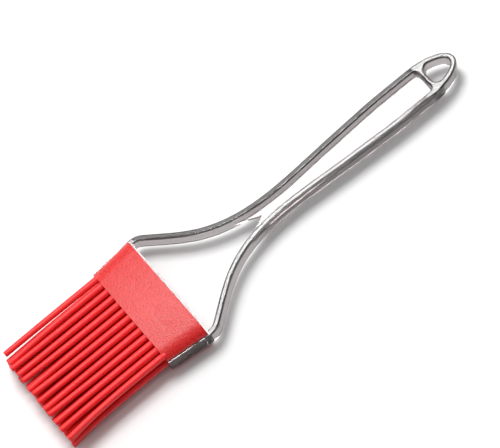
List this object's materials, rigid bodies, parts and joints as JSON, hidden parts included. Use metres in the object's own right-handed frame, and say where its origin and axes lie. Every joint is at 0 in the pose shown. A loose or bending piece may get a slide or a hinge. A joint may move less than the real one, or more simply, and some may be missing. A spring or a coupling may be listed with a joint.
{
  "type": "pastry brush",
  "caption": "Silicone pastry brush: a flat band with rows of thick round bristles, held by a clear forked handle with a webbed grip and a hanging hole.",
  "frame": {"origin": "under the middle of the whole brush, at the height of the band's back edge, with the brush lying on its back", "axes": "+X from the bristle tips to the hanging hole, +Y across the width, +Z out of the front face"},
  "size_m": [0.21, 0.0536, 0.0138],
  "materials": {
    "clear_plastic": "clear, polished, slightly grey at the edges",
    "silicone_band": "red silicone with a fine matte grain",
    "silicone_bristle": "red silicone, smooth satin"
  },
  "bodies": {
    "handle": {"handle": "clear_plastic"},
    "head": {"head": "silicone_band"},
    "bristles_front": {"bristle_row_front": "silicone_bristle"},
    "bristles_second": {"bristle_row_second": "silicone_bristle"},
    "bristles_third": {"bristle_row_third": "silicone_bristle"},
    "bristles_back": {"bristle_row_back": "silicone_bristle"}
  },
  "joints": [
    {"name": "head_pull_off", "type": "slide", "parent": "handle", "child": "head", "axis": [-1, 0, 0], "range_m": [0, 0.022]},
    {"name": "bristle_bend_front", "type": "hinge", "parent": "head", "child": "bristles_front", "pos_m": [-0.05905, 0, 0.0114], "axis": [0, 1, 0], "range_deg": [-25, 25], "stiffness_Nm_per_rad": 0.03},
    {"name": "bristle_bend_second", "type": "hinge", "parent": "head", "child": "bristles_second", "pos_m": [-0.05905, 0, 0.0084], "axis": [0, 1, 0], "range_deg": [-25, 25], "stiffness_Nm_per_rad": 0.03},
    {"name": "bristle_bend_third", "type": "hinge", "parent": "head", "child": "bristles_third", "pos_m": [-0.05905, 0, 0.0054], "axis": [0, 1, 0], "range_deg": [-25, 25], "stiffness_Nm_per_rad": 0.03},
    {"name": "bristle_bend_back", "type": "hinge", "parent": "head", "child": "bristles_back", "pos_m": [-0.05905, 0, 0.0024], "axis": [0, 1, 0], "range_deg": [-25, 25], "stiffness_Nm_per_rad": 0.03}
  ],
  "couplings": [
    {"joint": "bristle_bend_second", "follows": "bristle_bend_front", "ratio": 1},
    {"joint": "bristle_bend_third", "follows": "bristle_bend_front", "ratio": 1},
    {"joint": "bristle_bend_back", "follows": "bristle_bend_front", "ratio": 1}
  ]
}
